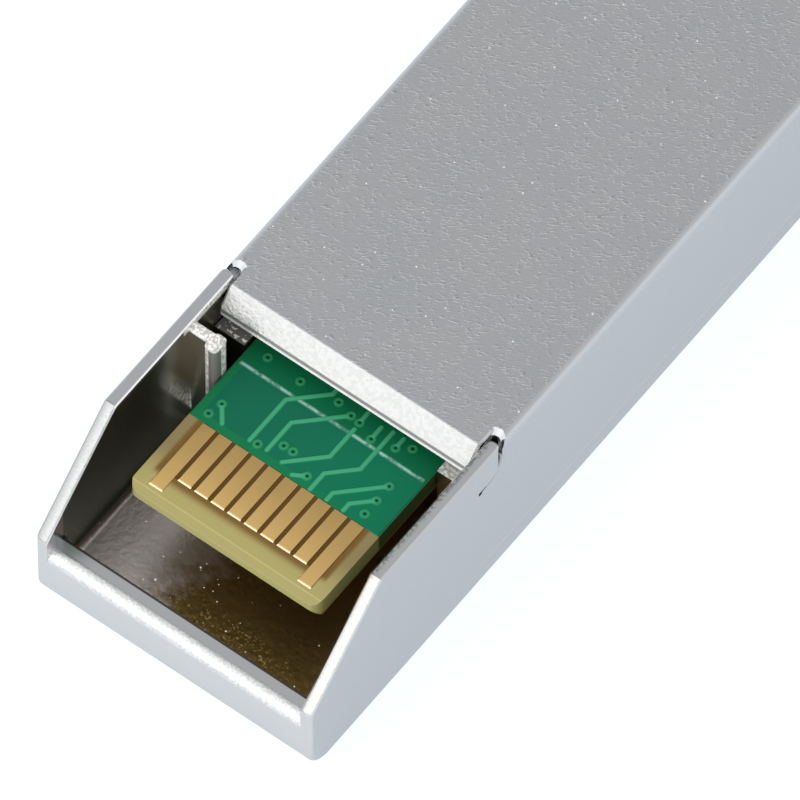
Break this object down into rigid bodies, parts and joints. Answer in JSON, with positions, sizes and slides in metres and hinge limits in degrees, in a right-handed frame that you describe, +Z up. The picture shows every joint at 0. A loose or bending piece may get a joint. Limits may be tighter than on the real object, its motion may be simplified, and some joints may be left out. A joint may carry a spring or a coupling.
{
  "type": "sfp plus transceiver",
  "caption": "Pluggable optical transceiver module: open rear bucket with a gold-fingered board edge, folded metal cover, duplex fibre nose, bail and latch.",
  "frame": {"origin": "middle of the label face, on the plane that the module rests on", "axes": "+Z up, from the label face to the side that faces the host board; +Y from the edge contacts to the fibre nose; +X to the right of that direction, the receive side"},
  "size_m": [0.0138, 0.0568, 0.0089],
  "materials": {
    "cast_nickel": "satin nickel plate on a zinc die casting",
    "sheet_nickel": "satin nickel plate with orange-peel grain on folded sheet",
    "board_laminate": "green solder mask over glass-fibre laminate",
    "contact_gold": "hard gold plate",
    "chip_black": "moulded epoxy",
    "pad_grey": "soft silicone gap pad",
    "passive_tan": "ceramic body with tinned ends",
    "turned_steel": "fine turned stainless steel",
    "white_ceramic": "ground zirconia",
    "can_gold": "gold-plated header and can",
    "flex_amber": "polyimide film",
    "clamp_plastic": "glass-filled moulding",
    "spring_steel": "bright stamped spring steel",
    "bail_wire": "drawn stainless wire",
    "sleeve_black": "moulded nylon"
  },
  "bodies": {
    "module": {"base_casting": "cast_nickel", "cover": "sheet_nickel", "circuit_board": "board_laminate", "contact_fingers_upper": "contact_gold", "contact_fingers_lower": "contact_gold", "driver_chip": "chip_black", "receiver_chip": "chip_black", "thermal_pad": "pad_grey", "controller_chip": "chip_black", "passives": "passive_tan", "transmit_barrel": "turned_steel", "transmit_sleeve": "white_ceramic", "transmit_can": "can_gold", "transmit_flex": "flex_amber", "receive_barrel": "turned_steel", "receive_sleeve": "white_ceramic", "receive_can": "can_gold", "receive_flex": "flex_amber", "optics_clamp": "clamp_plastic", "clamp_screw": "turned_steel", "fibre_receptacle": "cast_nickel", "spring_collar": "spring_steel", "latch_pin": "turned_steel", "latch_spring": "spring_steel"},
    "bail_handle": {"bail": "bail_wire", "bail_sleeve": "sleeve_black"},
    "latch_lever": {"latch_rocker": "spring_steel"}
  },
  "joints": [
    {"name": "bail_swing", "type": "hinge", "parent": "module", "child": "bail_handle", "pos_m": [0, 0.02325, 0.00745], "axis": [1, 0, 0], "range_deg": [0, 80]},
    {"name": "latch_rock", "type": "hinge", "parent": "module", "child": "latch_lever", "pos_m": [0, 0.02125, 0.00775], "axis": [1, 0, 0], "range_deg": [0, 6.5], "deforming": ["latch_spring"]}
  ],
  "couplings": [
    {"joint": "latch_rock", "follows": "bail_swing", "ratio": 0.08125}
  ]
}
